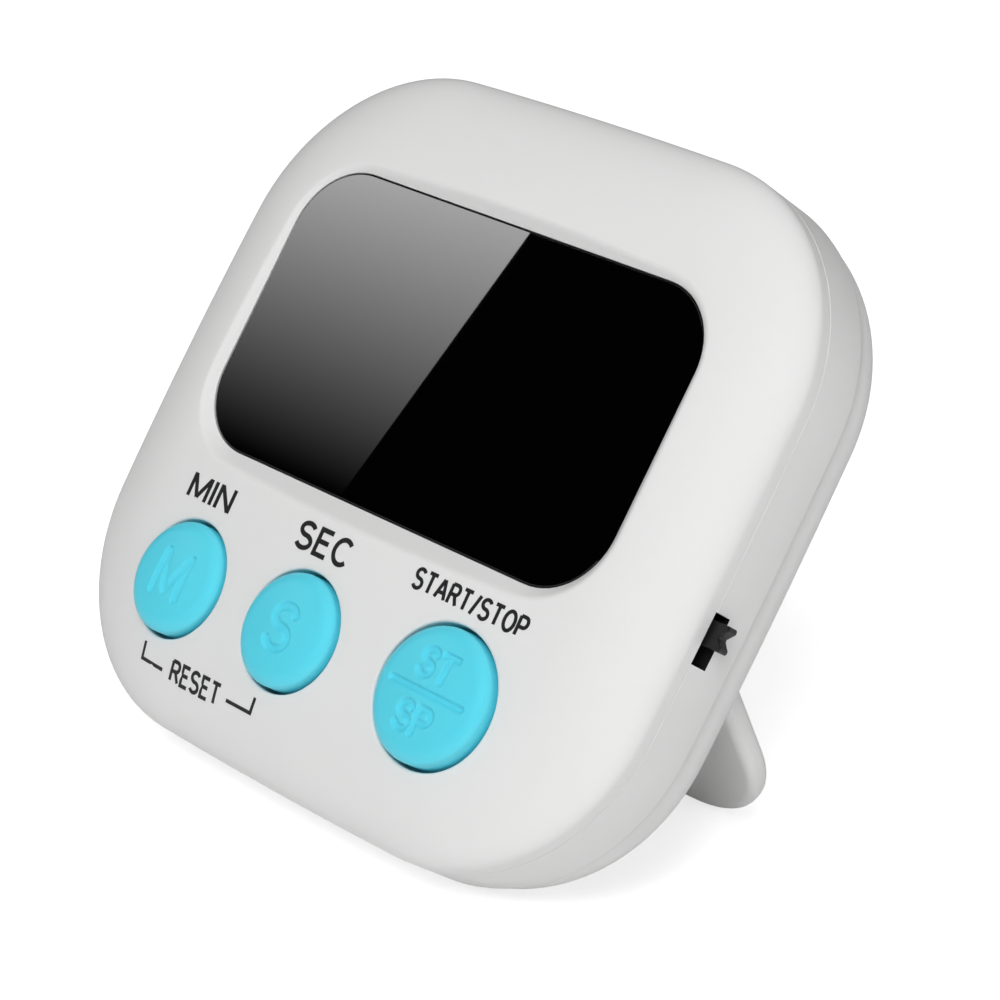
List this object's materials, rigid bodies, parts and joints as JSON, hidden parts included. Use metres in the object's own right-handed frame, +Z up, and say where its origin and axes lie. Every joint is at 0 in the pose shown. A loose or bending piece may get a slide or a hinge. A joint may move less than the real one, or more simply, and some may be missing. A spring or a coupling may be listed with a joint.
{
  "type": "lab timer",
  "caption": "Small square countdown timer with a black display window, three domed keys, a side on/off slide, magnets and a fold-out stand.",
  "frame": {"origin": "centre of the bounding box at the level of the table it stands on", "axes": "+Z up, +X to the right of the face, -Y towards the viewer; the case leans back on its open stand"},
  "size_m": [0.0634, 0.0446, 0.0536],
  "materials": {
    "case_plastic": "satin moulded ABS",
    "lens_black": "high gloss",
    "key_blue": "soft satin",
    "switch_black": "satin",
    "lcd_glass": "polished",
    "polariser": "smooth film",
    "elastomer": "matte",
    "board_green": "solder mask",
    "steel": "stamped",
    "plunger_black": "moulded",
    "cell_steel": "pressed",
    "contact_nickel": "nickel plated",
    "brass": "rolled sheet",
    "ceramic": "silvered ceramic",
    "wire_sleeve": "PVC sleeve",
    "screw_steel": "zinc plated",
    "magnet": "nickel plated",
    "epoxy_black": "cast epoxy",
    "crystal_can": "drawn can",
    "resistor_black": "fired",
    "capacitor_tan": "fired",
    "ferrite": "pressed ferrite"
  },
  "bodies": {
    "case": {"front_housing": "case_plastic", "rear_housing": "case_plastic", "display_lens": "lens_black", "circuit_board": "board_green", "push_switch_bodies": "steel", "slide_switch_shell": "switch_black", "slide_switch_terminals": "contact_nickel", "button_cell": "cell_steel", "negative_contact": "contact_nickel", "positive_contact": "contact_nickel", "buzzer_wires": "wire_sleeve", "case_screws": "screw_steel", "board_screws": "screw_steel", "magnets": "magnet", "lcd_front_polariser": "polariser", "lcd_front_glass": "lcd_glass", "lcd_rear_glass": "lcd_glass", "lcd_rear_polariser": "polariser", "elastomer_connector": "elastomer", "buzzer_disc": "brass", "buzzer_ceramic": "ceramic", "chip_blob": "epoxy_black", "crystal": "crystal_can", "resistors": "resistor_black", "capacitors": "capacitor_tan", "coil": "ferrite"},
    "min_button": {"min_key": "key_blue", "min_plunger": "plunger_black"},
    "sec_button": {"sec_key": "key_blue", "sec_plunger": "plunger_black"},
    "start_stop_button": {"start_stop_key": "key_blue", "start_stop_plunger": "plunger_black"},
    "power_switch": {"slide_switch_knob": "switch_black"},
    "stand": {"stand": "case_plastic"},
    "battery_cover": {"battery_cover": "case_plastic"}
  },
  "joints": [
    {"name": "min_press", "type": "slide", "parent": "case", "child": "min_button", "axis": [0, 0.7991, -0.6012], "range_m": [0, 0.0005], "stiffness_N_per_m": 300},
    {"name": "sec_press", "type": "slide", "parent": "case", "child": "sec_button", "axis": [0, 0.7991, -0.6012], "range_m": [0, 0.0005], "stiffness_N_per_m": 300},
    {"name": "start_stop_press", "type": "slide", "parent": "case", "child": "start_stop_button", "axis": [0, 0.7991, -0.6012], "range_m": [0, 0.0005], "stiffness_N_per_m": 300},
    {"name": "power_slide", "type": "slide", "parent": "case", "child": "power_switch", "axis": [0, -0.6012, -0.7991], "range_m": [0, 0.0015]},
    {"name": "stand_fold", "type": "hinge", "parent": "case", "child": "stand", "pos_m": [-0.0007, 0.00159, 0.01774], "axis": [-1, 0, 0], "range_deg": [0, 62]},
    {"name": "cover_turn", "type": "hinge", "parent": "case", "child": "battery_cover", "pos_m": [-0.0122, 0.01491, 0.03362], "axis": [0, -0.7991, 0.6012], "range_deg": [0, 60]}
  ]
}
